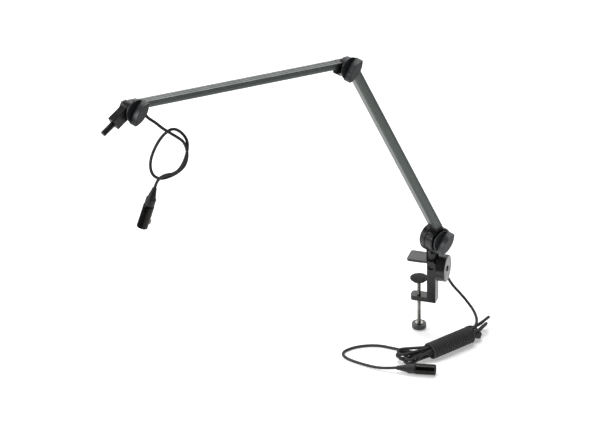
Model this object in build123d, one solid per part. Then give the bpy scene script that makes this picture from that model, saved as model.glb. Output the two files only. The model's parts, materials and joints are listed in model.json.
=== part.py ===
from build123d import *
import os
from math import sin, cos, tan, radians, degrees, sqrt, acos, pi

os.makedirs("parts", exist_ok=True)

# ---------------------------------------------------------------- sizes (mm)
# The table top lies in the plane Z = 0, under the upper jaw of the clamp.
HEADING = 238.5          # plan angle of the arm plane, from +X
LOWER_PITCH = 63.0       # lower arm above the horizontal
UPPER_PITCH = 10.0       # upper arm above the horizontal
HEAD_PITCH = -27.0       # head block above the horizontal
ARM_LENGTH = 457.0       # pivot to pivot, both arms
PIVOT_X = 24.7           # swivel axis, plan position
PIVOT_Z = 47.0           # base hinge above the table
PIVOT_OFFSET = 11.2      # arm plane beside the swivel axis
BUSH_R = 5.6
STEM_R = 4.2

JAW_T = 4.0
LINER_T = 1.5
JAW_X0 = -18.0
JAW_HALF = 16.0
POST_X0 = 17.0
POST_X1 = 32.5
POST_HALF = 10.0
POST_BOTTOM = -80.0
LOWER_JAW_T = 9.0
LOWER_JAW_X0 = -14.0

SPINDLE_R = 3.2
PAD_R = 15.5
PAD_TOP = -38.0
KNOB25_R = 12.7
KNOB25_TOP = -130.0
KNOB25_H = 9.0

HOUSING_R = 24.0
HOUSING_X0 = 36.0
HOUSING_X1 = 52.0
HOUSING_Z = -12.0

CHEEK_A0 = -17.0         # fixed cheek, along the hinge axis
CHEEK_A1 = -6.0
BLOCK_A0 = -5.6          # moving block
BLOCK_A1 = 10.0
WASHER_A1 = 11.5
KNOB_A0 = 11.9
KNOB_R = 20.0
KNOB_T = 3.0
GRIP_H = 14.5
GRIP_HALF_LEN = 21.5
GRIP_HALF_W = 8.5
GRIP_TURN = 48.0
BOLT_R = 4.0
ELBOW_A0 = -11.5         # fixed cheek at the elbow
ELBOW_A1 = -1.0
INSERT_R = 6.5

LOWER_W = 20.0           # lower tube, along the hinge axis
LOWER_H = 16.0
LOWER_OFF = 9.0          # tube axis outside the line of pivots
UPPER_W = 18.0
UPPER_H = 11.6
UPPER_OFF = 5.0
WALL = 1.6

STUD_R = 4.76            # 3/8 inch
STUD_LEN = 24.0
STUD_A = 2.2             # stud beside the middle of the arm
HEAD_X1 = 40.0           # nose of the head block, from its hinge
HEAD_Y = -6.2            # stud axis above the hinge
CORD_D = 5.0
FLOOR = -140.0

# ---------------------------------------------------------------- frames
H = Vector(cos(radians(HEADING)), sin(radians(HEADING)), 0)
A = Vector(-sin(radians(HEADING)), cos(radians(HEADING)), 0)
Z = Vector(0, 0, 1)


def in_plane(pitch):
    return H * cos(radians(pitch)) + Z * sin(radians(pitch))


P0 = Vector(PIVOT_X, 0, PIVOT_Z) + A * PIVOT_OFFSET
P1 = P0 + in_plane(LOWER_PITCH) * ARM_LENGTH
P2 = P1 + in_plane(UPPER_PITCH) * ARM_LENGTH

# local frames: x along the link, y towards its underside, z along the hinge axis
F_BASE = Plane(origin=P0, x_dir=H, z_dir=A)
F_LOWER = Plane(origin=P0, x_dir=in_plane(LOWER_PITCH), z_dir=A)
F_ELBOW = Plane(origin=P1, x_dir=H, z_dir=A)
F_UPPER = Plane(origin=P1, x_dir=in_plane(UPPER_PITCH), z_dir=A)
F_TIP = Plane(origin=P2, x_dir=H, z_dir=A)
F_HEAD = Plane(origin=P2, x_dir=in_plane(HEAD_PITCH), z_dir=A)


def put(shape, frame):
    return frame.location * shape


def box(x0, x1, y0, y1, z0, z1):
    b = Box(x1 - x0, y1 - y0, z1 - z0)
    return Pos((x0 + x1) / 2, (y0 + y1) / 2, (z0 + z1) / 2) * b


def cyl(r, z0, z1, x=0.0, y=0.0):
    return Pos(x, y, (z0 + z1) / 2) * Cylinder(r, z1 - z0)


def cyl_x(r, x0, x1, y=0.0, z=0.0):
    return Pos((x0 + x1) / 2, y, z) * Rot(0, 90, 0) * Cylinder(r, x1 - x0)


def cyl_y(r, y0, y1, x=0.0, z=0.0):
    return Pos(x, (y0 + y1) / 2, z) * Rot(90, 0, 0) * Cylinder(r, y1 - y0)


def hexagon(r, z0, z1):
    return Pos(0, 0, z0) * extrude(RegularPolygon(r, 6), z1 - z0)


def save(shape, name):
    shape.label = name
    n = len(shape.solids())
    print(name, "solids", n, "volume %.1f" % shape.volume)
    export_step(shape, "parts/" + name + ".step")


# ---------------------------------------------------------------- clamp
plate = box(JAW_X0, POST_X1 + 1.5, -JAW_HALF, JAW_HALF, LINER_T, LINER_T + JAW_T)
corner = [e for e in plate.edges().filter_by(Axis.Z) if e.center().X < 0]
plate = fillet(corner, 3.5)
right = [e for e in plate.edges().filter_by(Axis.Z) if e.center().X > 20 and e.length > 3]
plate = fillet(right, 5.0)
post = box(POST_X0, POST_X1, -POST_HALF, POST_HALF, POST_BOTTOM, LINER_T + 0.5)
jaw = box(0, POST_X0 + 1, -POST_HALF, POST_HALF, POST_BOTTOM, POST_BOTTOM + LOWER_JAW_T)
jaw = jaw + box(LOWER_JAW_X0 + 7, 1, -POST_HALF, POST_HALF, POST_BOTTOM, POST_BOTTOM + LOWER_JAW_T)
nose = box(LOWER_JAW_X0, LOWER_JAW_X0 + 8, -POST_HALF, POST_HALF, POST_BOTTOM, POST_BOTTOM + LOWER_JAW_T)
nose_edges = [e for e in nose.edges().filter_by(Axis.Z) if e.center().X < LOWER_JAW_X0 + 1]
nose = fillet(nose_edges, 6.5)
bracket = plate + post + jaw + nose
gusset = box(POST_X0 - 5, POST_X0 + 1, -POST_HALF, POST_HALF, -4.0, LINER_T + 0.5)
gusset = gusset - cyl_y(5.0, -11, 11, POST_X0 - 5, -4.0 + 0.5)
bracket = bracket + gusset
bracket = bracket - cyl(SPINDLE_R + 0.05, POST_BOTTOM - 1, POST_BOTTOM + LOWER_JAW_T + 1)
bracket = bracket - cyl(BUSH_R, -32.0, LINER_T + JAW_T + 1, PIVOT_X, 0)
bracket = bracket - cyl_y(5.6, -POST_HALF - 1, -POST_HALF + 2.6, PIVOT_X, -9.0)
bracket = bracket - cyl_x(3.0, POST_X1 - 1.7, POST_X1 + 1, 0, HOUSING_Z)
save(bracket, "clamp_bracket")

liner = box(JAW_X0 + 1.5, POST_X0 - 6, -JAW_HALF + 1.5, JAW_HALF - 1.5, 0, LINER_T)
liner = fillet(liner.edges().filter_by(Axis.Z), 2.5)
save(liner, "jaw_liner")

bush = cyl(BUSH_R, -24.0, LINER_T + JAW_T, PIVOT_X, 0)
bush = bush + cyl(11.0, LINER_T + JAW_T, LINER_T + JAW_T + 2, PIVOT_X, 0)
bush = bush - cyl(STEM_R + 0.05, -26, 12, PIVOT_X, 0)
save(bush, "swivel_bush")

housing = cyl_x(HOUSING_R, HOUSING_X0, HOUSING_X1 - 2.5, 0, HOUSING_Z)
housing = housing - cyl_x(HOUSING_R - 2.5, HOUSING_X0 + 3, HOUSING_X1, 0, HOUSING_Z)
housing = housing + cyl_x(8.0, POST_X1, HOUSING_X0, 0, HOUSING_Z)
housing = housing + cyl_x(6.0, HOUSING_X0, HOUSING_X1 - 4.5, 0, HOUSING_Z)
housing = housing - cyl_x(3.0, POST_X1 - 1, HOUSING_X1, 0, HOUSING_Z)
GLAND_DIR = Vector(0, 0.64, -0.7684)
GLAND_C = Vector((HOUSING_X0 + HOUSING_X1 - 2.5) / 2 + 0.5, 0, HOUSING_Z)
gland_frame = Plane(origin=GLAND_C, x_dir=(1, 0, 0), z_dir=GLAND_DIR)
housing = housing - put(cyl(3.6, 12, HOUSING_R + 4), gland_frame)
save(housing, "cable_housing")

cap = cyl_x(HOUSING_R, HOUSING_X1 - 2.5, HOUSING_X1, 0, HOUSING_Z)
rim = [e for e in cap.edges().filter_by(GeomType.CIRCLE) if e.center().X > HOUSING_X1 - 0.1]
cap = fillet(rim, 1.2)
cap = cap - cyl_x(3.1, HOUSING_X1 - 3, HOUSING_X1 + 1, 0, HOUSING_Z)
save(cap, "housing_cap")

hscrew = cyl_x(2.95, POST_X1 - 1.6, HOUSING_X1 - 0.5, 0, HOUSING_Z)
hscrew = hscrew + cyl_x(5.0, HOUSING_X1, HOUSING_X1 + 1.6, 0, HOUSING_Z)
hscrew = hscrew + cyl_x(2.95, HOUSING_X1 - 1, HOUSING_X1 + 0.5, 0, HOUSING_Z)
hex_in = Plane(origin=(HOUSING_X1 + 0.4, 0, HOUSING_Z), x_dir=(0, 1, 0), z_dir=(1, 0, 0))
hscrew = hscrew - put(hexagon(2.2, 0, 3), hex_in)
save(hscrew, "housing_screw")

gland_z = HOUSING_R + 0.2
gland = cyl(3.6, gland_z - 3.7, gland_z + 0.1)
gland = gland + cyl(5.2, gland_z, gland_z + 2.8)
gland = gland + Pos(0, 0, gland_z + 5.8) * Cone(4.6, 3.4, 6.0)
gland = gland - cyl(CORD_D / 2, gland_z - 5, gland_z + 10)
save(put(gland, gland_frame), "base_gland")

# ---------------------------------------------------------------- screw and pad
pad = cyl(PAD_R, PAD_TOP - 6.0, PAD_TOP)
pad = chamfer(pad.edges().group_by(Axis.Z)[0].filter_by(GeomType.CIRCLE), 4.0)
pad = pad - cyl(5.6, PAD_TOP - 7, PAD_TOP - 2.0)
save(pad, "pressure_pad")

collar = cyl(5.55, PAD_TOP - 8.5, PAD_TOP - 7.0)
collar = collar + cyl(5.5, PAD_TOP - 7.0, PAD_TOP - 4.6)
collar = collar - cyl(SPINDLE_R + 0.06, PAD_TOP - 9, PAD_TOP)
save(collar, "pad_collar")

spindle = cyl(SPINDLE_R - 0.02, KNOB25_TOP - 6.0, PAD_TOP - 4.0)
spindle = spindle + cyl(5.2, PAD_TOP - 4.5, PAD_TOP - 2.1)
save(spindle, "clamp_spindle")

knob25 = cyl(KNOB25_R, KNOB25_TOP - KNOB25_H, KNOB25_TOP)
knob25 = fillet(knob25.edges().group_by(Axis.Z)[0], 1.5)
for i in range(10):
    ang = radians(36 * i)
    cut = cyl(2.2, KNOB25_TOP - 20, KNOB25_TOP + 2, (KNOB25_R + 1.35) * cos(ang), (KNOB25_R + 1.35) * sin(ang))
    knob25 = knob25 - cut
knob25 = knob25 - cyl(7.1, KNOB25_TOP - 1.5, KNOB25_TOP + 1)
knob25 = knob25 - cyl(SPINDLE_R, KNOB25_TOP - 6.0, KNOB25_TOP + 1)
save(knob25, "clamp_knob")

nut = cyl(7.0, KNOB25_TOP - 1.5, KNOB25_TOP + 1.2)
nut = nut - cyl(SPINDLE_R, KNOB25_TOP - 3, KNOB25_TOP + 3)
save(nut, "clamp_knob_nut")

# ---------------------------------------------------------------- turret
drum = put(cyl(25.0, CHEEK_A0 - 2.0, CHEEK_A1), F_BASE)
drum = fillet(drum.edges().filter_by(GeomType.CIRCLE), 2.0)
neck = cyl(11.0, LINER_T + JAW_T + 2.1, PIVOT_Z - 16, PIVOT_X, 0)
stem = cyl(STEM_R, -29.0, LINER_T + JAW_T + 4, PIVOT_X, 0)
groove = cyl(6.0, -25.7, -24.3, PIVOT_X, 0) - cyl(3.3, -26, -24, PIVOT_X, 0)
trim = put(box(-40, 40, -40, 40, CHEEK_A1, 20), F_BASE)
trim2 = put(box(-40, 40, -40, 28.0, CHEEK_A1 - 20, CHEEK_A1 + 20), F_BASE)
neck = neck - (trim & trim2)
turret = drum + neck + stem - groove
turret = turret - put(cyl(BOLT_R + 0.02, -30, 0), F_BASE)
turret = turret - put(hexagon(8.0, CHEEK_A0 - 1, CHEEK_A0 + 5.0), F_BASE)
save(turret, "turret")

ring = cyl(5.4, -25.6, -24.4, PIVOT_X, 0) - cyl(3.35, -26, -24, PIVOT_X, 0)
ring = ring - box(PIVOT_X, PIVOT_X + 10, -1.6, 1.6, -26, -24)
save(ring, "stem_ring")


def hinge_bolt(frame, head_depth, a0=CHEEK_A0):
    b = cyl(BOLT_R, a0 + head_depth - 1.0, KNOB_A0 + 11.0)
    b = b + hexagon(7.8, a0 + head_depth - 5.0 + 0.2, a0 + head_depth)
    return put(b, frame)


def friction_washer(frame, r):
    w = cyl(r, BLOCK_A1, WASHER_A1) - cyl(BOLT_R + 0.08, 0, 20)
    return put(w, frame)


def grip_body(z0, z1, half_len, half_w):
    big = (half_len * half_len + half_w * half_w) / (2 * half_w)
    one = cyl(big, z0, z1, 0, big - half_w)
    two = cyl(big, z0, z1, 0, -(big - half_w))
    return one & two


def hinge_knob(frame):
    base = cyl(KNOB_R, KNOB_A0, KNOB_A0 + KNOB_T)
    base = fillet(base.edges().filter_by(GeomType.CIRCLE), 1.2)
    grip = grip_body(KNOB_A0 + 1, KNOB_A0 + KNOB_T + GRIP_H, GRIP_HALF_LEN, GRIP_HALF_W)
    k = base + Rot(0, 0, GRIP_TURN) * grip
    top = [e for e in k.edges() if abs(e.center().Z - (KNOB_A0 + KNOB_T + GRIP_H)) < 0.05]
    k = fillet(top, 1.0)
    k = k - cyl(INSERT_R, KNOB_A0 - 1, KNOB_A0 + 12.0)
    return put(k, frame)


def knob_insert(frame):
    s = cyl(INSERT_R, KNOB_A0, KNOB_A0 + 12.0)
    s = s - cyl(BOLT_R + 0.06, KNOB_A0 - 1, KNOB_A0 + 11.5)
    return put(s, frame)


save(hinge_bolt(F_BASE, 5.0), "base_bolt")
save(friction_washer(F_BASE, 15.0), "base_washer")
save(hinge_knob(F_BASE), "base_knob")
save(knob_insert(F_BASE), "base_knob_insert")

# ---------------------------------------------------------------- arm tube profile


def underside(shape, r):
    """Rounds the two long edges on the underside."""
    return fillet(shape.edges().filter_by(Axis.X).sort_by(Axis.Y)[-2:], r)


def tube(frame, x0, x1, w, h, off, round_r):
    outer = box(x0, x1, -off - h / 2, -off + h / 2, -w / 2, w / 2)
    outer = underside(outer, round_r)
    inner = box(x0 - 1, x1 + 1, -off - h / 2 + WALL, -off + h / 2 - WALL, -w / 2 + WALL, w / 2 - WALL)
    inner = underside(inner, round_r - WALL)
    t = outer - inner
    top = -off - h / 2
    for side in (-1, 1):
        t = t - box(x0 - 1, x1 + 1, top - 1, top + 0.9, side * w / 2 - 0.9, side * w / 2 + 0.9)
        for k in range(2):
            y = top + 2.6 + 1.6 * k
            t = t - box(x0 - 1, x1 + 1, y, y + 0.6, side * w / 2 - 0.45, side * w / 2 + 0.45)
        t = t - box(x0 - 1, x1 + 1, top - 0.6, top + 0.6, side * 2.6 - 0.6, side * 2.6 + 0.6)
    return put(t, frame)


def plug(x0, x1, w, h, off, round_r):
    g = WALL + 0.05
    p = box(x0, x1, -off - h / 2 + g, -off + h / 2 - g, -w / 2 + g, w / 2 - g)
    return underside(p, round_r - WALL)


LOWER_ROUND = 5.0
UPPER_ROUND = 3.4
LOWER_X0 = 27.0
LOWER_X1 = ARM_LENGTH - 23.0
UPPER_X0 = 25.0
UPPER_X1 = ARM_LENGTH - 22.0

save(tube(F_LOWER, LOWER_X0, LOWER_X1, LOWER_W, LOWER_H, LOWER_OFF, LOWER_ROUND), "lower_tube")
save(tube(F_UPPER, UPPER_X0, UPPER_X1, UPPER_W, UPPER_H, UPPER_OFF, UPPER_ROUND), "upper_tube")

# lower arm, base end: hinge block and body that carries on the tube's section
low_end = cyl(23.5, BLOCK_A0, BLOCK_A1)
low_end = fillet(low_end.edges().filter_by(GeomType.CIRCLE).sort_by(Axis.Z)[-1], 1.6)
low_body = box(2.0, LOWER_X0, -LOWER_OFF - LOWER_H / 2, -LOWER_OFF + LOWER_H / 2, BLOCK_A0, BLOCK_A1)
low_body = fillet(low_body.edges().filter_by(Axis.X), 2.0)
low_end = low_end + low_body
low_end = low_end + box(0, LOWER_X0 - 4, -2, 10, BLOCK_A0, BLOCK_A1)
low_end = low_end + plug(LOWER_X0 - 1, LOWER_X0 + 26, LOWER_W, LOWER_H, LOWER_OFF, LOWER_ROUND)
low_end = low_end - cyl(BOLT_R + 0.08, -30, 30)
save(put(low_end, F_LOWER), "lower_end")

# lower arm, elbow end: plug, plate and the fixed cheek
hx = ARM_LENGTH
head = plug(LOWER_X1 - 26, LOWER_X1 + 1, LOWER_W, LOWER_H, LOWER_OFF, LOWER_ROUND)
plate_e = box(LOWER_X1 + 0.1, LOWER_X1 + 3.0, -LOWER_OFF - LOWER_H / 2, -0.8, -LOWER_W / 2, LOWER_W / 2)
plate_e = fillet(plate_e.edges().filter_by(Axis.X), 2.0)
arm_e = box(LOWER_X1 + 0.1, hx, -LOWER_OFF - LOWER_H / 2 + 1, 10.0, ELBOW_A0, ELBOW_A1)
arm_e = fillet(arm_e.edges().filter_by(Axis.Z), 5.0)
cheek = cyl(18.6, ELBOW_A0, ELBOW_A1, hx, 0)
cheek = fillet(cheek.edges().filter_by(GeomType.CIRCLE), 1.6)
head = head + plate_e + arm_e + cheek
head = head - cyl(BOLT_R + 0.02, -30, 30, hx, 0)
head = head - Pos(hx, 0, 0) * hexagon(8.0, ELBOW_A0 - 1, ELBOW_A0 + 5.0)
head = head - cyl(18.6, ELBOW_A1, BLOCK_A1 + 3, hx, 0)
flat = put(box(-40, 40, -40, -9.4, ELBOW_A0 - 1, ELBOW_A1 + 0.2), F_UPPER)
head = put(head, F_LOWER) - flat
save(head, "lower_head")

F_ELBOW_BOLT = Plane(origin=P1, x_dir=in_plane(LOWER_PITCH), z_dir=A)
save(hinge_bolt(F_ELBOW_BOLT, 5.0, ELBOW_A0), "elbow_bolt")
save(friction_washer(F_ELBOW, 15.0), "elbow_washer")
save(hinge_knob(F_ELBOW), "elbow_knob")
save(knob_insert(F_ELBOW), "elbow_knob_insert")

run = cyl_x(CORD_D / 2, LOWER_X0 + 27, LOWER_X1 - 27, -LOWER_OFF + LOWER_H / 2 - WALL - CORD_D / 2 - 0.3, 0)
save(put(run, F_LOWER), "lower_cable_run")

# upper arm, elbow end
up_end = cyl(17.0, ELBOW_A1 + 0.4, BLOCK_A1)
up_body = box(0.0, UPPER_X0, -UPPER_OFF - UPPER_H / 2, 8.0, ELBOW_A1 + 0.4, 9.0)
up_body = fillet(up_body.edges().filter_by(Axis.X), 1.2)
up_cap = box(19.4, UPPER_X0, -UPPER_OFF - UPPER_H / 2 + 0.4, -UPPER_OFF + UPPER_H / 2, -UPPER_W / 2, ELBOW_A1 + 3)
up_body = up_body + up_cap
up_end = up_end + up_body
up_end = up_end + plug(UPPER_X0 - 1, UPPER_X0 + 24, UPPER_W, UPPER_H, UPPER_OFF, UPPER_ROUND)
up_end = up_end - cyl(BOLT_R + 0.08, -30, 30)
save(put(up_end, F_UPPER), "upper_end")

# upper arm, tip end
head2 = plug(UPPER_X1 - 24, UPPER_X1 + 1, UPPER_W, UPPER_H, UPPER_OFF, UPPER_ROUND)
plate_t = box(UPPER_X1 + 0.1, UPPER_X1 + 3.0, -UPPER_OFF - UPPER_H / 2, 3.0, -UPPER_W / 2, UPPER_W / 2)
arm_t = box(UPPER_X1 + 0.1, hx, -UPPER_OFF - UPPER_H / 2 + 0.4, 8.0, CHEEK_A0 + 4, CHEEK_A1)
arm_t = fillet(arm_t.edges().filter_by(Axis.Z), 4.0)
cheek_t = cyl(10.6, CHEEK_A0 + 4, CHEEK_A1, hx, 0)
cheek_t = fillet(cheek_t.edges().filter_by(GeomType.CIRCLE), 1.2)
head2 = head2 + plate_t + arm_t + cheek_t
head2 = head2 - cyl(BOLT_R + 0.02, -30, 30, hx, 0)
head2 = head2 - cyl(18.6, BLOCK_A0 - 0.4, BLOCK_A1 + 3, hx, 0)
save(put(head2, F_UPPER), "upper_head")

GLAND_X = UPPER_X1 - 8.0
tube_bottom = -UPPER_OFF + UPPER_H / 2
tip_gland = cyl_y(4.6, tube_bottom, tube_bottom + 3.0, GLAND_X, 0)
cone_t = Pos(GLAND_X, tube_bottom + 6.0, 0) * Rot(-90, 0, 0) * Cone(4.2, 3.3, 6.0)
tip_gland = tip_gland + cone_t - cyl_y(CORD_D / 2, -5, tube_bottom + 12, GLAND_X, 0)
save(put(tip_gland, F_UPPER), "tip_gland")

tbolt = cyl(BOLT_R, CHEEK_A0 + 3.0, KNOB_A0 + 11.0) + hexagon(9.2, CHEEK_A0 - 1.5, CHEEK_A0 + 4.0)
save(put(tbolt, F_TIP), "tip_bolt")
save(friction_washer(F_TIP, 13.0), "tip_washer")
save(hinge_knob(F_TIP), "tip_knob")
save(knob_insert(F_TIP), "tip_knob_insert")

run2 = cyl_x(CORD_D / 2, UPPER_X0 + 25, UPPER_X1 - 25, -UPPER_OFF + UPPER_H / 2 - WALL - CORD_D / 2 - 0.3, 0)
save(put(run2, F_UPPER), "upper_cable_run")

# ---------------------------------------------------------------- head
blk = cyl(11.5, BLOCK_A0, BLOCK_A1)
nose_b = box(8.5, HEAD_X1, HEAD_Y - 10.2, HEAD_Y + 10.3, BLOCK_A0, BLOCK_A1 - 0.3)
nose_b = chamfer(nose_b.edges(), 0.8)
blk = blk + nose_b + box(0, 12, -10.5, 4.0, BLOCK_A0, BLOCK_A1 - 0.6)
blk = blk - cyl(BOLT_R + 0.08, -30, 30)
blk = blk - cyl_x(STUD_R - 0.6, HEAD_X1 - 14, HEAD_X1 + 1, HEAD_Y, STUD_A)
save(put(blk, F_HEAD), "head_block")

stud = cyl_x(STUD_R, HEAD_X1, HEAD_X1 + STUD_LEN, HEAD_Y, STUD_A)
tips = [e for e in stud.edges().filter_by(GeomType.CIRCLE) if e.center().X > HEAD_X1 + 18]
stud = chamfer(tips, 0.9)
nring = 14
for i in range(nring):
    x = HEAD_X1 + 2.5 + i * 1.5
    cut = cyl_x(STUD_R + 1, x - 0.35, x + 0.35, HEAD_Y, STUD_A)
    stud = stud - (cut - cyl_x(STUD_R - 0.55, x - 1, x + 1, HEAD_Y, STUD_A))
stud = stud + cyl_x(STUD_R - 0.65, HEAD_X1 - 12, HEAD_X1 + 0.5, HEAD_Y, STUD_A)
save(put(stud, F_HEAD), "mic_stud")

# ---------------------------------------------------------------- cords


def corner_radii(points, floor_r):
    radii = []
    for i in range(1, len(points) - 1):
        a = Vector(*points[i]) - Vector(*points[i - 1])
        b = Vector(*points[i + 1]) - Vector(*points[i])
        turn = acos(max(-1.0, min(1.0, a.dot(b) / (a.length * b.length))))
        r = 0.45 * min(a.length, b.length) / tan(turn / 2)
        r = min(r, 90.0)
        radii.append(r)
        print("   corner %d turn %.1f radius %.1f" % (i, degrees(turn), r))
        if r < floor_r:
            print("   tight corner", i)
    return radii


def cord(points, name, floor_r=15.0):
    print("cord", name)
    radii = corner_radii(points, floor_r)
    line = FilletPolyline(*[Vector(*p) for p in points], radius=radii)
    start = Plane(origin=line @ 0, z_dir=line % 0)
    body = sweep(start * Circle(CORD_D / 2), path=line)
    want = pi * CORD_D ** 2 / 4 * line.length
    print("   length %.1f volume %.1f section x length %.1f" % (line.length, body.volume, want))
    save(body, name)
    return line


g0 = GLAND_C + GLAND_DIR * (HOUSING_R + 9.1)
BASE_LEAD = [
    (g0.X, g0.Y, g0.Z),
    (g0.X + 1.0, g0.Y + 9.6, g0.Z - 12.6),
    (g0.X + 7.0, g0.Y + 15.0, g0.Z - 30.0),
    (74.0, 42.0, -88.0),
    (103.0, 21.0, -118.6),
]
cord(BASE_LEAD, "base_cord_lead", 20.0)

BASE_TAIL = [
    (11.0, -98.9, -121.0),
    (-17.0, -87.0, -132.5),
    (-52.0, -81.0, -137.5),
    (-86.0, -96.0, -137.5),
    (-105.0, -121.0, -137.5),
    (-92.0, -144.0, -137.5),
    (-62.0, -154.0, -137.5),
    (-24.0, -160.5, -136.0),
    (4.5, -156.2, -130.6),
]
cord(BASE_TAIL, "base_cord_tail", 15.0)

# wrapped bundle: the outer shape of all its turns
w0 = Vector(46.0, -100.0, -124.3)
w1 = Vector(100.0, -22.0, -124.4)
wd = (w1 - w0).normalized()
wrap = put(Cylinder(15.5, (w1 - w0).length), Plane(origin=(w0 + w1) * 0.5, z_dir=wd))
fan0 = Vector(-11.0, -118.5, -128.8)
fan1 = Vector(50.0, -98.0, -127.5)
fan = put(Cylinder(10.6, (fan1 - fan0).length), Plane(origin=(fan0 + fan1) * 0.5, z_dir=(fan1 - fan0)))
fan_tip = [e for e in fan.edges().filter_by(GeomType.CIRCLE) if e.center().X < 0]
fan = fillet(fan_tip, 7.0)
cone0 = w1 - wd * 3.0
tipc = Vector(109.0, 42.0, -131.0)
cone_f = Plane(origin=(tipc + cone0) * 0.5, z_dir=(tipc - cone0))
cone_b = put(Cone(12.5, 7.0, (tipc - cone0).length), cone_f)
cone_tip = [e for e in cone_b.edges().filter_by(GeomType.CIRCLE) if e.center().Y > 30]
cone_b = fillet(cone_tip, 3.0)
hank = wrap + fan + cone_b
print("hank valid", hank.is_valid)
save(hank, "base_cord_hank")

# tip cord: it hangs in an upright plane that faces the front
FACE = Vector(0.9504, 0.3110, 0)
gl = F_UPPER.from_local_coords(Vector(GLAND_X, tube_bottom + 9.1, 0))
DOWN = A.cross(in_plane(UPPER_PITCH))
g1 = gl + DOWN * 10.0
TIP_LEAD = [
    (gl.X, gl.Y, gl.Z),
    (g1.X, g1.Y, g1.Z),
    (gl.X + 7.0, gl.Y + 1.6, gl.Z - 24.0),
    (gl.X + 20.8, gl.Y + 6.0, gl.Z - 34.8),
]
cord(TIP_LEAD, "tip_cord_lead", 10.0)

RING_C = Vector(gl.X + 34.0, gl.Y + 9.9, gl.Z - 76.0)
ring_frame = Plane(origin=RING_C, x_dir=FACE, z_dir=Vector(FACE.Y, -FACE.X, 0))
ring_path = ring_frame * Ellipse(27.5, 36.5).edge()
ring_start = Plane(origin=ring_path @ 0, z_dir=ring_path % 0)
ring_solid = sweep(ring_start * Circle(5.0), path=ring_path)
save(ring_solid, "tip_cord_ring")

TAIL_END = Vector(gl.X + 10.7, gl.Y + 2.3, gl.Z - 137.4)
TIP_TAIL = [
    (RING_C.X - 13.2, RING_C.Y - 4.3, RING_C.Z - 37.8),
    (RING_C.X - 19.5, RING_C.Y - 6.4, RING_C.Z - 49.0),
    (TAIL_END.X, TAIL_END.Y, TAIL_END.Z),
]
cord(TIP_TAIL, "tip_cord_tail", 8.0)

# ---------------------------------------------------------------- connectors
# local x from the cord end to the open end


def boot(r0, r1, x0, x1):
    b = Pos((x0 + x1) / 2, 0, 0) * Rot(0, 90, 0) * Cone(r0, r1, x1 - x0)
    for i in range(4):
        x = x0 + 4.0 + 3.4 * i
        ringcut = cyl_x(r1 + 4, x, x + 1.3, 0, 0) - cyl_x(r0 + (r1 - r0) * (x - x0) / (x1 - x0) - 0.8, x - 1, x + 3)
        b = b - ringcut
    return b - cyl_x(CORD_D / 2, x0 - 1, x0 + 14)


def connector_shell(x0, x1, r, wall, end_wall):
    s = cyl_x(r, x0, x1)
    back = [e for e in s.edges().filter_by(GeomType.CIRCLE) if e.center().X < x0 + 0.1]
    s = fillet(back, 2.2)
    s = s - cyl_x(r - wall, x0 + end_wall, x1 + 1)
    return s


tail_last = Vector(*BASE_TAIL[-1])
MALE_DIR = Vector(0.9890, 0.1470, 0.0133)
F_MALE = Plane(origin=tail_last, x_dir=MALE_DIR, z_dir=Vector(0, 0, 1) - MALE_DIR * MALE_DIR.Z)
save(put(boot(3.6, 7.4, 0.1, 20.0), F_MALE), "male_xlr_boot")
save(put(cyl_x(8.6, 20.1, 32.0) - cyl_x(5.0, 19, 33), F_MALE), "male_xlr_collar")
save(put(connector_shell(32.1, 68.0, 9.4, 1.3, 2.0), F_MALE), "male_xlr_shell")
minsert = cyl_x(8.1, 34.1, 52.0)
pin_at = [(0, 3.6), (-3.4, -2.2), (3.4, -2.2)]
for (py, pz) in pin_at:
    minsert = minsert - cyl_x(1.2, 44.0, 53.0, py, pz)
save(put(minsert, F_MALE), "male_xlr_insert")
pins = None
for (py, pz) in pin_at:
    one = cyl_x(1.2, 44.0, 64.5, py, pz)
    pins = one if pins is None else pins + one
save(put(pins, F_MALE), "male_xlr_pins")

FEM_DIR = (TAIL_END - Vector(*TIP_TAIL[1])).normalized()
FEM_SIDE = FACE - FEM_DIR * FACE.dot(FEM_DIR)
F_FEM = Plane(origin=TAIL_END, x_dir=FEM_DIR, z_dir=FEM_SIDE.normalized())
save(put(boot(3.6, 7.4, 0.1, 20.0), F_FEM), "female_xlr_boot")
save(put(cyl_x(8.6, 20.1, 32.0) - cyl_x(5.0, 19, 33), F_FEM), "female_xlr_collar")
fshell = connector_shell(32.1, 74.0, 9.4, 1.2, 2.0)
slot = box(46.0, 68.0, -2.2, 2.2, 6.0, 12.0)
fshell = fshell - slot
save(put(fshell, F_FEM), "female_xlr_shell")
finsert = cyl_x(8.15, 34.1, 73.2)
for (py, pz) in pin_at:
    finsert = finsert - cyl_x(1.6, 58.0, 74.0, py, pz)
finsert = finsert - box(45.5, 68.5, -2.5, 2.5, 5.6, 9.0)
save(put(finsert, F_FEM), "female_xlr_insert")
sockets = None
for (py, pz) in pin_at:
    one = cyl_x(1.6, 58.0, 71.5, py, pz) - cyl_x(1.25, 59.0, 72.0, py, pz)
    sockets = one if sockets is None else sockets + one
save(put(sockets, F_FEM), "female_xlr_contacts")
latch = box(46.6, 67.4, -1.9, 1.9, 7.6, 9.3)
latch = latch + box(58.0, 65.0, -1.9, 1.9, 9.0, 11.4)
save(put(latch, F_FEM), "female_xlr_latch")
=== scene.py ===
"""Clamp-on microphone arm: finishes, the two cords and the studio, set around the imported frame."""

import json
import math

import bpy
import numpy as np
from bpy.props import FloatProperty, FloatVectorProperty, IntProperty, PointerProperty
from mathutils import Matrix


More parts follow.
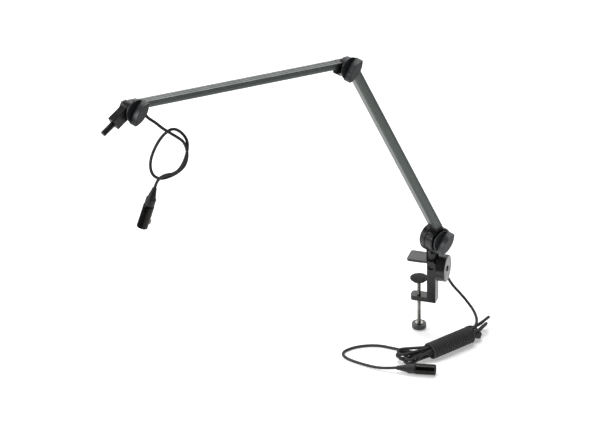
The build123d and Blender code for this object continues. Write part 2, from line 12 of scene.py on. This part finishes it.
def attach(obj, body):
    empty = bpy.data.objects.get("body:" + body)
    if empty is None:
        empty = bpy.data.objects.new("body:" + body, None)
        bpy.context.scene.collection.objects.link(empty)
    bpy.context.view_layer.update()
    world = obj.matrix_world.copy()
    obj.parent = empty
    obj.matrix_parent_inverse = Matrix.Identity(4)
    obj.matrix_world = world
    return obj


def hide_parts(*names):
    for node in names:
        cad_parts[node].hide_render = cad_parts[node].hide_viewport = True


bl_info = {
    "name": "Clamp-on microphone arm",
    "version": (1, 0, 0),
    "blender": (4, 5, 0),
    "location": "3D View > Sidebar > Mic Arm",
    "description": "Finishes, cords and studio for a clamp-on microphone arm",
    "category": "Object",
}

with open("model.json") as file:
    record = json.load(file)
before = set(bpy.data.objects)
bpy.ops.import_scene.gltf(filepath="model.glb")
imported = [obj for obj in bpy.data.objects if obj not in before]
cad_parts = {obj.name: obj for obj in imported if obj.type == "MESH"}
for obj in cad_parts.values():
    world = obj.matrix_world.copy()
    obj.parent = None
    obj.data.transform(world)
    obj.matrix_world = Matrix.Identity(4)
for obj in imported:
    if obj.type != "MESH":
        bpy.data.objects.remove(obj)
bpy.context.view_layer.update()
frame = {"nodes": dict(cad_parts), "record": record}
NODES = frame["nodes"]
MM = 0.001
SCENE = bpy.context.scene
THREAD_PITCH = 1.25 * MM


# ---------------------------------------------------------------- finishes


class Finish:
    """A node material, built one node at a time around a single Principled shader."""

    def __init__(self, name):
        self.material = bpy.data.materials.new(name)
        self.material.use_nodes = True
        self.tree = self.material.node_tree
        self.shader = self.tree.nodes["Principled BSDF"]
        self.coords = self.add("ShaderNodeTexCoord").outputs["Object"]

    def add(self, kind, **values):
        node = self.tree.nodes.new(kind)
        for key, value in values.items():
            if hasattr(node, key):
                setattr(node, key, value)
            else:
                node.inputs[key.replace("_", " ")].default_value = value
        return node

    def join(self, out, into):
        self.tree.links.new(out, into)

    def noise(self, scale, detail=3.0, stretch=(1, 1, 1), turn=(0, 0, 0)):
        """Noise on Object coordinates, drawn out by stretch after a turn; scale is in cells a metre."""
        place = self.add("ShaderNodeMapping")
        place.inputs["Rotation"].default_value = turn
        place.inputs["Scale"].default_value = stretch
        self.join(self.coords, place.inputs["Vector"])
        node = self.add("ShaderNodeTexNoise")
        node.inputs["Scale"].default_value = scale
        node.inputs["Detail"].default_value = detail
        self.join(place.outputs["Vector"], node.inputs["Vector"])
        return node.outputs["Fac"]

    def ramp(self, source, low, high, start=0.3, end=0.7):
        """Maps source between two greys or colours."""
        node = self.add("ShaderNodeValToRGB")
        node.color_ramp.elements[0].position = start
        node.color_ramp.elements[1].position = end
        node.color_ramp.elements[0].color = (*grey(low), 1)
        node.color_ramp.elements[1].color = (*grey(high), 1)
        self.join(source, node.inputs["Fac"])
        return node.outputs["Color"]

    def colour(self, source, low, high, start=0.3, end=0.7):
        self.join(self.ramp(source, low, high, start, end), self.shader.inputs["Base Color"])

    def roughness(self, source, low, high):
        node = self.add("ShaderNodeMapRange")
        node.inputs["To Min"].default_value = low
        node.inputs["To Max"].default_value = high
        node.inputs["From Min"].default_value = 0.3
        node.inputs["From Max"].default_value = 0.7
        self.join(source, node.inputs["Value"])
        self.join(node.outputs["Result"], self.shader.inputs["Roughness"])

    def bump(self, source, height, strength=1.0):
        """Bump of that height in metres."""
        node = self.add("ShaderNodeBump")
        node.inputs["Distance"].default_value = height
        node.inputs["Strength"].default_value = strength
        self.join(source, node.inputs["Height"])
        self.join(node.outputs["Normal"], self.shader.inputs["Normal"])

    def thread(self, pitch, depth):
        """Thread crests square to z, as a bump of that depth."""
        wave = self.add("ShaderNodeTexWave", wave_type="BANDS", bands_direction="Z")
        wave.inputs["Scale"].default_value = 2 * math.pi / (20.0 * pitch)
        self.join(self.coords, wave.inputs["Vector"])
        self.bump(wave.outputs["Fac"], depth)

    def set(self, **values):
        for key, value in values.items():
            self.shader.inputs[key.replace("_", " ")].default_value = value


def grey(value):
    return (value, value, value) if isinstance(value, (int, float)) else tuple(value)


def shade(colour, factor):
    return tuple(min(1.0, c * factor) for c in grey(colour))


def powder_coat(name, colour, gloss, grain=1400.0, height=0.00004):
    """Painted or coated metal: a fine orange peel, slow changes of tone and slightly patchy gloss."""
    f = Finish(name)
    f.colour(f.noise(22.0), shade(colour, 0.82), shade(colour, 1.2))
    f.roughness(f.noise(60.0, 5.0), gloss - 0.05, gloss + 0.07)
    f.bump(f.noise(grain, 2.0), height)
    f.set(Metallic=0.0, Specular_IOR_Level=0.42)
    return f.material


def anodised(name, colour, turn):
    """Extruded aluminium: fine drawing lines along the length, under a satin anodised skin."""
    f = Finish(name)
    lines = f.noise(900.0, 4.0, stretch=(0.012, 1.0, 1.0), turn=turn)
    f.colour(lines, shade(colour, 0.86), shade(colour, 1.14))
    f.roughness(f.noise(35.0, 4.0), 0.24, 0.34)
    f.bump(lines, 0.00001, 0.4)
    f.set(Metallic=0.85)
    return f.material


def plated(name, colour, rough, spread=0.08, grain=700.0):
    """Plated or turned metal, with faint turning marks and a patchy gloss."""
    f = Finish(name)
    marks = f.noise(grain, 5.0, stretch=(1, 1, 0.15))
    f.colour(f.noise(90.0, 4.0), shade(colour, 0.85), shade(colour, 1.05))
    f.roughness(marks, rough - spread, rough + spread)
    f.bump(marks, 0.00001, 0.5)
    f.set(Metallic=1.0)
    return f.material


def threaded(name, colour):
    """Plated screw with a trapezoidal thread, a little greasy in the roots."""
    f = Finish(name)
    f.colour(f.noise(90.0, 4.0), shade(colour, 0.75), shade(colour, 1.05))
    f.roughness(f.noise(200.0, 4.0), 0.26, 0.42)
    f.thread(THREAD_PITCH, 0.0004)
    f.set(Metallic=1.0)
    return f.material


def moulded(name, colour, gloss, grain=1900.0, height=0.00003):
    """Moulded plastic: spark-eroded grain, gloss rubbed up in places and a little tone change."""
    f = Finish(name)
    f.colour(f.noise(30.0, 4.0), shade(colour, 0.85), shade(colour, 1.15))
    f.roughness(f.noise(45.0, 5.0), gloss - 0.06, gloss + 0.08)
    f.bump(f.noise(grain, 3.0), height, 0.7)
    f.set(Metallic=0.0, Specular_IOR_Level=0.5)
    return f.material


def rubbery(name, colour, gloss=0.62, skin=0.6):
    """Rubber or soft vinyl: dull, with a bloom of paler patches and a fine matt skin."""
    f = Finish(name)
    f.colour(f.noise(55.0, 6.0), shade(colour, 0.8), shade(colour, 1.35))
    f.roughness(f.noise(80.0, 4.0), gloss - 0.08, gloss + 0.08)
    f.bump(f.noise(2600.0, 2.0), 0.00002, skin)
    f.set(Metallic=0.0, Specular_IOR_Level=0.45)
    return f.material


def make_finishes(look):
    """One material for each slot in the record."""
    return {
        "clamp_paint": powder_coat("clamp_paint", look.paint, 0.24),
        "cast_black": powder_coat("cast_black", shade(look.paint, 0.9), 0.30, 1100.0, 0.00004),
        "steel": plated("nickel_plate", look.steel, 0.26),
        "dark_steel": plated("black_oxide", (0.045, 0.045, 0.047), 0.38),
        "brass": plated("turned_brass", (0.72, 0.52, 0.24), 0.28),
        "contact_metal": plated("silver_plate", (0.78, 0.77, 0.73), 0.22),
        "plug_shell": plated("black_chrome", (0.024, 0.0235, 0.0225), 0.28, 0.05),
        "housing_plastic": moulded("housing_plastic", look.plastic, 0.28),
        "knob_plastic": moulded("knob_plastic", look.knob, 0.36),
        "pad_plastic": rubbery("pad_plastic", (0.004, 0.004, 0.004), 0.7),
        "nylon_black": moulded("nylon_black", shade(look.plastic, 0.7), 0.48),
        "liner_rubber": rubbery("liner_rubber", (0.012, 0.012, 0.012), 0.7),
        "boot_rubber": rubbery("boot_rubber", (0.016, 0.016, 0.017), 0.58),
        "cord_jacket": rubbery("cord_jacket", look.cord, 0.24, 0.3),
    }


def link_heading(node):
    """The turn that lays a tube's length along x, from the long way of its own vertices."""
    mesh = NODES[node].data
    co = np.empty(len(mesh.vertices) * 3)
    mesh.vertices.foreach_get("co", co)
    co = co.reshape(-1, 3)
    co = co - co.mean(axis=0)
    along = np.linalg.eigh(co.T @ co)[1][:, -1]
    yaw = math.atan2(along[1], along[0])
    pitch = math.atan2(along[2], math.hypot(along[0], along[1]))
    turned = Matrix.Rotation(pitch, 3, "Y") @ Matrix.Rotation(-yaw, 3, "Z")
    return tuple(turned.to_euler())


class MICARM_PG_finishes(bpy.types.PropertyGroup):
    paint: FloatVectorProperty(
        name="Paint",
        description="Colour of the painted castings",
        subtype="COLOR",
        default=(0.0075, 0.008, 0.0075),
    )
    tube: FloatVectorProperty(
        name="Tube", description="Colour of the anodised tubes", subtype="COLOR", default=(0.082, 0.093, 0.087)
    )
    steel: FloatVectorProperty(
        name="Plating", description="Colour of the plated screws", subtype="COLOR", default=(0.30, 0.30, 0.28)
    )
    plastic: FloatVectorProperty(
        name="Plastic",
        description="Colour of the mouldings",
        subtype="COLOR",
        default=(0.0085, 0.009, 0.0095),
    )
    knob: FloatVectorProperty(
        name="Knobs", description="Colour of the knobs", subtype="COLOR", default=(0.024, 0.0275, 0.030)
    )
    cord: FloatVectorProperty(
        name="Cord", description="Colour of the cord's jacket", subtype="COLOR", default=(0.008, 0.0085, 0.0085)
    )


class MICARM_OT_finishes(bpy.types.Operator):
    """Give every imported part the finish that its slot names"""

    bl_idname = "micarm.finishes"
    bl_label = "Dress the parts"

    def execute(self, context):
        look = context.scene.micarm_finishes
        made = make_finishes(look)
        for part in frame["record"]["subparts"]:
            node, slot = part["node"], part["material_slot"]
            if slot == "tube_alu":
                material = anodised("anodised_" + node, look.tube, link_heading(node))
            else:
                material = made[slot]
            if node == "clamp_spindle":
                material = threaded("threaded_steel", look.steel)
            if node == "housing_screw":
                material = made["housing_plastic"]
            for entry in NODES[node].material_slots:
                entry.material = material
        return {"FINISHED"}


# ---------------------------------------------------------------- cords


def nurbs_cord(name, route, diameter):
    """One open quadratic NURBS spline on the route's points, with a round bevel of the cord's diameter."""
    curve = bpy.data.curves.new(name, "CURVE")
    curve.dimensions = "3D"
    curve.bevel_depth = diameter / 2
    curve.bevel_resolution = 4
    curve.resolution_u = 6
    curve.use_fill_caps = True
    spline = curve.splines.new("NURBS")
    spline.points.add(len(route) - 1)
    points = np.concatenate([np.asarray(route), np.ones((len(route), 1))], axis=1)
    spline.points.foreach_set("co", points.ravel())
    spline.order_u = 3
    spline.use_endpoint_u = True
    cord = bpy.data.objects.new(name, curve)
    bpy.context.collection.objects.link(cord)
    curve.materials.append(bpy.data.materials["cord_jacket"])
    return cord


# the base cord from its gland to the hank, in mm
BASE_LEAD = [
    (43.25, 21.18, -37.43),
    (43.3, 24.6, -41.5),
    (44.25, 30.8, -50.0),
    (51.5, 36.6, -67.4),
    (69, 40.4, -88),
    (94.5, 29, -110),
    (104, 8, -121),
]
# from the hank to the male plug, mostly lying on the desk
BASE_TAIL = [
    (34.2, -89.0, -129.8),
    (27.5, -88.6, -134.6),
    (14, -88, -137.2),
    (-19, -85, -137.5),
    (-52, -81, -137.5),
    (-86, -96, -137.5),
    (-105, -121, -137.5),
    (-94, -139, -137.5),
    (-64, -149, -137.5),
    (-32, -156.5, -136.5),
    (-8, -158.1, -132.6),
    (4.5, -156.2, -130.6),
]
# the axis of the binding, in mm, and the ways the loops point beyond its two ends
WRAP_END = np.array([100.0, -22.0, -124.4])
WRAP_START = np.array([46.0, -100.0, -124.3])
RIGHT_WAY = np.array([0.193, 0.981, 0.0])
LEFT_WAY = np.array([-0.952, -0.306, 0.0])
DESK = -140.0
FOLD_RADIUS = 10.0
BUNDLE_OUTER = 7.6
BUNDLE_INNER = 2.95
BINDING_RADIUS = 12.75
POINTS_PER_TURN = 16
INSIDE_SHARES = (0.04, 0.35, 0.65, 0.96)
LOOP_ROOT = 0.45
# each loop: its reach, its swing to the front, its height above the desk and how steeply it lies
LEFT_LOOPS = [
    (53, 1, 17.0, 0.0),
    (41, 13, 13.5, 0.0),
    (55, 3, 11.5, 0.0),
    (43, 15, 8.0, 0.0),
    (51, 0, 6.0, 0.0),
    (39, 12, 2.7, 0.0),
]
RIGHT_LOOPS = [
    (64, 0, 14.4, 0.75),
    (18, 4, 12.5, 0.0),
    (48, 3.4, 10.7, 0.75),
    (20, -5, 18.0, 0.0),
    (25, -1, 2.8, 0.0),
]


def hank_axes():
    """The binding's own directions, along, across and up, and its length."""
    along = WRAP_START - WRAP_END
    long = np.linalg.norm(along)
    along = along / long
    across = np.array([-along[1], along[0], 0.0])
    return along, across, np.array([0.0, 0.0, 1.0]), long


def bundle_places():
    """Twelve cords in a round bundle, nine in the outer ring and three inside it, in the order they run."""
    spread = np.radians(90 + 40 * np.arange(9))
    outer = [(BUNDLE_OUTER * math.cos(t), BUNDLE_OUTER * math.sin(t)) for t in spread]
    inner = [(BUNDLE_INNER * math.cos(t), BUNDLE_INNER * math.sin(t)) for t in np.radians([90, 210, 330])]
    return [*outer[:3], inner[1], *outer[3:6], inner[2], *outer[6:], inner[0]]


def fold(loop, here, there):
    """One turn back, from one place in the bundle to the next, as points of run, side and height."""
    reach, swing, height, steep = loop
    (a, b), (a2, b2) = here, there
    middle = DESK - WRAP_END[2] + height
    flat = math.sqrt(1 - steep * steep)
    if a > a2 and not steep:
        flat = -flat
    radius = FOLD_RADIUS / math.cos(math.radians(22.5))
    points = []
    for angle in np.radians([-90, -45, 0, 45, 90]):
        aside = radius * math.sin(angle)
        out = reach - FOLD_RADIUS + radius * math.cos(angle)
        points.append((out, swing + aside * flat, middle + aside * steep))
    if reach > 3 * FOLD_RADIUS:
        first, last = points[0], points[-1]
        points.insert(0, (LOOP_ROOT * reach, (a + first[1]) / 2, (b + first[2]) / 2))
        points.append((LOOP_ROOT * reach, (a2 + last[1]) / 2, (b2 + last[2]) / 2))
    return points


def hank_route(turns):
    """The folded passes of the bundle, then the turns that bind them.

    Passes run straight inside the binding and turn back in loops at both ends. The binding is a
    helix: a circle about the bundle's axis that moves along it by one pitch a turn.
    """
    along, across, up, long = hank_axes()
    order = bundle_places()
    route = []

    def place(run, side, height):
        """A point beside the bundle's line, which turns towards the loops past either end of the binding."""
        if run < 0:
            return WRAP_END - RIGHT_WAY * run + np.array([-RIGHT_WAY[1], RIGHT_WAY[0], 0]) * -side + up * height
        if run > long:
            past = WRAP_START + LEFT_WAY * (run - long)
            return past + np.array([-LEFT_WAY[1], LEFT_WAY[0], 0]) * side + up * height
        return WRAP_END + along * run + across * side + up * height

    for k, (a, b) in enumerate(order):
        inside = [place(share * long, a, b) for share in INSIDE_SHARES]
        if k % 2:
            inside = inside[::-1]
        route += inside
        if k == len(order) - 1:
            break
        loops, start, sign = (RIGHT_LOOPS, 0.0, -1.0) if k % 2 else (LEFT_LOOPS, long, 1.0)
        route += [place(start + sign * r, s, h) for r, s, h in fold(loops[k // 2], order[k], order[k + 1])]
    # a last loop that brings the cord under the bundle, where the binding starts
    back = [(-9, a, b), (-17, a - 3, b), (-20, -12, -4), (-14, -19, -9), (-5, -17, -12), (0, -8, -13.1)]
    route += [place(*point) for point in back]
    radius = BINDING_RADIUS / math.cos(math.pi / POINTS_PER_TURN)
    steps = np.arange(turns * POINTS_PER_TURN + POINTS_PER_TURN * 3 // 4 + 1)
    turn = 2 * math.pi * steps / POINTS_PER_TURN - math.pi / 2
    run = 2.5 + (long - 5.0) * steps / steps[-1]
    helix = (
        WRAP_END
        + along * run[:, None]
        + across * (radius * np.cos(turn))[:, None]
        + up * (radius * np.sin(turn))[:, None]
    )
    return np.concatenate([np.array(route), helix])


class MICARM_PG_cords(bpy.types.PropertyGroup):
    diameter: FloatProperty(name="Diameter", description="Outside of the cord", unit="LENGTH", default=0.005)
    turns: IntProperty(name="Binding turns", description="Turns that bind the hank", default=16, min=6, max=20)


class MICARM_OT_base_cord(bpy.types.Operator):
    """Run the base cord from the clamp through its hank to the male plug"""

    bl_idname = "micarm.base_cord"
    bl_label = "Base cord"

    def execute(self, context):
        size = context.scene.micarm_cords
        route = np.concatenate([BASE_LEAD, hank_route(size.turns), BASE_TAIL]) * MM
        cord = nurbs_cord("base_cord", route, size.diameter)
        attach(cord, "clamp")
        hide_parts("base_cord_lead", "base_cord_hank", "base_cord_tail")
        return {"FINISHED"}


# the tip cord's loose turns hang about this centre, in mm, in an upright plane
RING_CENTRE = np.array([-260.77, -532.86, 442.59])
RING_ACROSS = np.array([0.9504, 0.3110, 0.0])
RING_FRONT = np.array([0.3110, -0.9504, 0.0])
TIP_LEAD = [
    (-294.77, -542.76, 518.59),
    (-295.0, -543.2, 514.0),
    (-290.5, -541.8, 507.0),
    (-279.5, -538.3, 499.0),
    (-270.0, -536.0, 489.5),
]
TIP_TURNS = [  # across the ring, up, and towards the front
    (4.5, 38.0, 2.6),
    (14.0, 31.5, 2.8),
    (24.5, 23.0, 2.6),
    (29.5, 7.0, 1.0),
    (29.0, -10.0, -1.5),
    (24.0, -25.0, -2.7),
    (13.0, -36.0, -2.7),
    (-1.6, -43.4, -2.2),
    (-15.0, -46.0, -1.0),
    (-26.0, -40.0, 0.0),
    (-30.5, -27.0, 0.0),
    (-29.5, -10.0, 0.0),
    (-24.0, 6.0, -0.6),
    (-16.0, 22.0, -1.8),
    (-5.0, 36.0, -2.8),
    (8.0, 45.0, -2.8),
    (22.0, 37.0, -2.6),
    (31.0, 21.0, -1.6),
    (29.5, 4.0, 1.2),
    (25.0, -11.0, 2.4),
    (17.5, -26.0, 2.8),
    (7.0, -35.0, 2.8),
    (-5.5, -36.0, 2.8),
    (-15.5, -42.0, 1.6),
    (-20.6, -50.0, 0.4),
]
TIP_TAIL_END = np.array([-284.07, -540.46, 381.19])
TIP_PLUG_WAY = np.array([-0.2918, -0.0921, -0.9520])


class MICARM_OT_tip_cord(bpy.types.Operator):
    """Hang the tip cord in its two loose turns, down to the female plug"""

    bl_idname = "micarm.tip_cord"
    bl_label = "Tip cord"

    def execute(self, context):
        size = context.scene.micarm_cords
        turns = np.array(TIP_TURNS)
        ring = RING_CENTRE + turns[:, :1] * RING_ACROSS + turns[:, 2:] * RING_FRONT
        ring[:, 2] += turns[:, 1]
        end = [TIP_TAIL_END - 5.0 * TIP_PLUG_WAY, TIP_TAIL_END + 0.4 * TIP_PLUG_WAY]
        route = np.concatenate([TIP_LEAD, ring, end]) * MM
        cord = nurbs_cord("tip_cord", route, size.diameter)
        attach(cord, "upper_arm")
        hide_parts("tip_cord_lead", "tip_cord_ring", "tip_cord_tail")
        return {"FINISHED"}


# ---------------------------------------------------------------- studio


FLOOR_LEVEL = -0.1402
FLOOR_CORNERS = [(-1.7, -1.4), (1.5, -1.4), (1.5, 1.8), (-1.7, 1.8)]
FLOOR_GLOW = 0.35


class MICARM_PG_stage(bpy.types.PropertyGroup):
    floor_shade: FloatProperty(name="Floor", description="Paleness of the floor", default=0.92, min=0, max=1)
    sky: FloatProperty(name="Sky", description="Strength of the even white light", default=0.05, min=0)
    key: FloatProperty(name="Key", description="Power of the big soft light", unit="POWER", default=110.0)
    lens: FloatProperty(name="Lens", description="Focal length", subtype="DISTANCE_CAMERA", default=244.9)


def studio_camera(lens):
    """The camera stands far off to the front right, level with the arm's slope, with a hint of roll."""
    azimuth, elevation, roll = (math.radians(v) for v in (18.118, 29.057, -1.063))
    back = np.array(
        [math.sin(azimuth) * math.cos(elevation), -math.cos(azimuth) * math.cos(elevation), math.sin(elevation)]
    )
    right = np.array([math.cos(azimuth), math.sin(azimuth), 0.0])
    up = np.cross(back, right)
    right, up = math.cos(roll) * right + math.sin(roll) * up, math.cos(roll) * up - math.sin(roll) * right
    data = bpy.data.cameras.new("camera")
    data.lens = lens
    data.sensor_width = 36.0
    data.clip_end = 100.0
    camera = bpy.data.objects.new("camera", data)
    bpy.context.collection.objects.link(camera)
    place = Matrix([[right[i], up[i], back[i], 0.0] for i in range(3)] + [[0, 0, 0, 1]])
    place.translation = (1.6833, -5.8339, 3.4583)
    camera.matrix_world = place
    SCENE.camera = camera


def area_light(name, power, size, at, towards):
    data = bpy.data.lights.new(name, "AREA")
    data.shape = "RECTANGLE"
    data.energy = power
    data.size, data.size_y = size
    lamp = bpy.data.objects.new(name, data)
    bpy.context.collection.objects.link(lamp)
    aim = Matrix.Identity(4)
    z = np.array(at) - np.array(towards)
    z = z / np.linalg.norm(z)
    x = np.cross([0, 0, 1], z)
    x = x / np.linalg.norm(x)
    y = np.cross(z, x)
    for i in range(3):
        aim[i][0], aim[i][1], aim[i][2], aim[i][3] = x[i], y[i], z[i], at[i]
    lamp.matrix_world = aim
    return lamp


class MICARM_OT_stage(bpy.types.Operator):
    """Set up the floor, the soft light and the camera"""

    bl_idname = "micarm.stage"
    bl_label = "Studio"

    def execute(self, context):
        look = context.scene.micarm_stage
        mesh = bpy.data.meshes.new("floor")
        corners = [(x, y, FLOOR_LEVEL) for x, y in FLOOR_CORNERS]
        mesh.from_pydata(corners, [], [(0, 1, 2, 3)])
        floor = bpy.data.objects.new("floor", mesh)
        bpy.context.collection.objects.link(floor)
        f = Finish("studio_floor")
        f.colour(f.noise(1.5), look.floor_shade, look.floor_shade + 0.01)
        f.set(Roughness=0.9, Specular_IOR_Level=0.1)
        f.set(Emission_Color=(1, 1, 1, 1), Emission_Strength=FLOOR_GLOW)
        mesh.materials.append(f.material)
        world = bpy.data.worlds.new("studio")
        world.use_nodes = True
        tree = world.node_tree
        sky = tree.nodes["Background"]
        sky.inputs["Color"].default_value = (1, 1, 1, 1)
        sky.inputs["Strength"].default_value = look.sky
        plain = tree.nodes.new("ShaderNodeBackground")
        seen = tree.nodes.new("ShaderNodeLightPath")
        choose = tree.nodes.new("ShaderNodeMixShader")
        tree.links.new(seen.outputs["Is Camera Ray"], choose.inputs[0])
        tree.links.new(sky.outputs[0], choose.inputs[1])
        tree.links.new(plain.outputs[0], choose.inputs[2])
        plain.inputs["Color"].default_value = (1, 1, 1, 1)
        tree.links.new(choose.outputs[0], tree.nodes["World Output"].inputs["Surface"])
        SCENE.world = world
        SCENE.view_settings.view_transform = "Standard"
        area_light("top", look.key * 0.9, (2.6, 2.0), (-0.4, 0.6, 3.2), (-0.1, 0.0, 0.0))
        area_light("key", look.key * 0.6, (1.4, 1.8), (-2.6, -1.8, 1.5), (-0.1, -0.2, 0.2))
        area_light("fill", look.key * 0.10, (0.8, 1.6), (2.4, -2.2, 1.0), (-0.1, -0.2, 0.1))
        back = area_light("back", look.key * 0.45, (4.0, 1.8), (-0.9, 3.0, 1.9), (-0.1, 0.0, 0.2))
        back.visible_camera = False
        studio_camera(look.lens)
        return {"FINISHED"}


class MICARM_PT_sidebar(bpy.types.Panel):
    bl_label = "Microphone arm"
    bl_idname = "MICARM_PT_sidebar"
    bl_space_type = "VIEW_3D"
    bl_region_type = "UI"
    bl_category = "Mic Arm"

    def draw(self, context):
        for group in (context.scene.micarm_finishes, context.scene.micarm_cords, context.scene.micarm_stage):
            for name in group.bl_rna.properties.keys():
                if name not in ("rna_type", "name"):
                    self.layout.prop(group, name)
        for operator in OPERATORS:
            self.layout.operator(operator.bl_idname)


GROUPS = {
    "micarm_finishes": MICARM_PG_finishes,
    "micarm_cords": MICARM_PG_cords,
    "micarm_stage": MICARM_PG_stage,
}
OPERATORS = (MICARM_OT_finishes, MICARM_OT_base_cord, MICARM_OT_tip_cord, MICARM_OT_stage)


def register():
    for cls in (*GROUPS.values(), *OPERATORS, MICARM_PT_sidebar):
        bpy.utils.register_class(cls)
    for name, group in GROUPS.items():
        setattr(bpy.types.Scene, name, PointerProperty(type=group))


def unregister():
    for name in GROUPS:
        delattr(bpy.types.Scene, name)
    for cls in (MICARM_PT_sidebar, *reversed(OPERATORS), *reversed(list(GROUPS.values()))):
        bpy.utils.unregister_class(cls)


def main():
    register()
    bpy.ops.micarm.finishes()
    bpy.ops.micarm.base_cord()
    bpy.ops.micarm.tip_cord()
    bpy.ops.micarm.stage()


if __name__ == "__main__":
    main()
